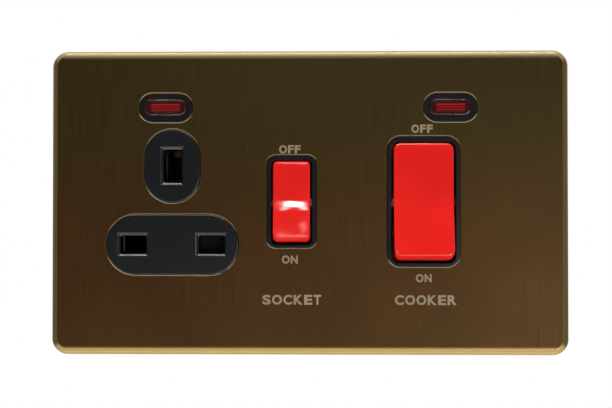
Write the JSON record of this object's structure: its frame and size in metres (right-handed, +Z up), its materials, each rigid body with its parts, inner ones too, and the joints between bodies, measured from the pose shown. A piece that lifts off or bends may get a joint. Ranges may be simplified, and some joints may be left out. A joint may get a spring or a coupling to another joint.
{
  "type": "cooker control unit",
  "caption": "Flat wall plate with a shuttered switched socket beside a large red cooker rocker switch, neon indicators and rear cable terminals.",
  "frame": {"origin": "middle of the unit on the wall plane, centre of the two fixing slots at the frame's rear rim", "axes": "+X right seen from the front, +Z up, -Y out of the wall towards the user"},
  "size_m": [0.146, 0.0311, 0.086],
  "materials": {
    "plate_bronze": "brushed antique bronze under lacquer, brass-bright at the edges",
    "moulding_black": "matte black",
    "base_black": "matte black",
    "rocker_red": "glossy red",
    "lens_red": "clear dark red",
    "shutter_nylon": "dark nylon",
    "plunger_nylon": "natural nylon",
    "contact_brass": "bright",
    "steel": "zinc plated",
    "lamp_glass": "clear",
    "resistor_ceramic": "glazed"
  },
  "bodies": {
    "unit": {"front_plate": "plate_bronze", "front_moulding": "moulding_black", "socket_face": "moulding_black", "socket_base": "base_black", "switch_base": "base_black", "housing_screws": "steel", "shutter_spring": "steel", "socket_neutral_contact": "contact_brass", "socket_line_contact": "contact_brass", "socket_earth_contact": "contact_brass", "line_busbar": "contact_brass", "neutral_link": "contact_brass", "plate_earth_spring": "steel", "line_in_terminal": "contact_brass", "neutral_in_terminal": "contact_brass", "line_out_terminal": "contact_brass", "neutral_out_terminal": "contact_brass", "earth_terminal": "contact_brass", "terminal_screws": "steel", "socket_neon_lens": "lens_red", "cooker_neon_lens": "lens_red", "socket_neon_lamp": "lamp_glass", "cooker_neon_lamp": "lamp_glass", "socket_neon_resistor": "resistor_ceramic", "cooker_neon_resistor": "resistor_ceramic"},
    "socket_rocker": {"socket_rocker": "rocker_red", "socket_plunger": "plunger_nylon", "socket_plunger_spring": "steel"},
    "cooker_rocker": {"cooker_rocker": "rocker_red", "cooker_line_plunger": "plunger_nylon", "cooker_neutral_plunger": "plunger_nylon", "cooker_line_spring": "steel", "cooker_neutral_spring": "steel"},
    "socket_contact": {"socket_moving_contact": "contact_brass"},
    "cooker_line_contact": {"cooker_line_moving_contact": "contact_brass"},
    "cooker_neutral_contact": {"cooker_neutral_moving_contact": "contact_brass"},
    "shutter": {"shutter": "shutter_nylon"}
  },
  "joints": [
    {"name": "socket_rocker_tilt", "type": "hinge", "parent": "unit", "child": "socket_rocker", "pos_m": [-0.0049, -0.001, 0], "axis": [1, 0, 0], "range_deg": [0, 14]},
    {"name": "cooker_rocker_tilt", "type": "hinge", "parent": "unit", "child": "cooker_rocker", "pos_m": [0.0322, -0.001, 0], "axis": [1, 0, 0], "range_deg": [0, 14]},
    {"name": "socket_contact_tilt", "type": "hinge", "parent": "unit", "child": "socket_contact", "pos_m": [-0.0049, 0.01155, 0], "axis": [1, 0, 0], "range_deg": [-14, 0]},
    {"name": "cooker_line_contact_tilt", "type": "hinge", "parent": "unit", "child": "cooker_line_contact", "pos_m": [0.0267, 0.01155, 0], "axis": [1, 0, 0], "range_deg": [-14, 0]},
    {"name": "cooker_neutral_contact_tilt", "type": "hinge", "parent": "unit", "child": "cooker_neutral_contact", "pos_m": [0.0377, 0.01155, 0], "axis": [1, 0, 0], "range_deg": [-14, 0]},
    {"name": "shutter_slide", "type": "slide", "parent": "unit", "child": "shutter", "axis": [0, 0, -1], "range_m": [0, 0.0054], "stiffness_N_per_m": 100, "springref_m": -0.004, "deforming": ["shutter_spring"]}
  ],
  "couplings": [
    {"joint": "socket_contact_tilt", "follows": "socket_rocker_tilt", "ratio": -1},
    {"joint": "cooker_line_contact_tilt", "follows": "cooker_rocker_tilt", "ratio": -1},
    {"joint": "cooker_neutral_contact_tilt", "follows": "cooker_rocker_tilt", "ratio": -1}
  ]
}
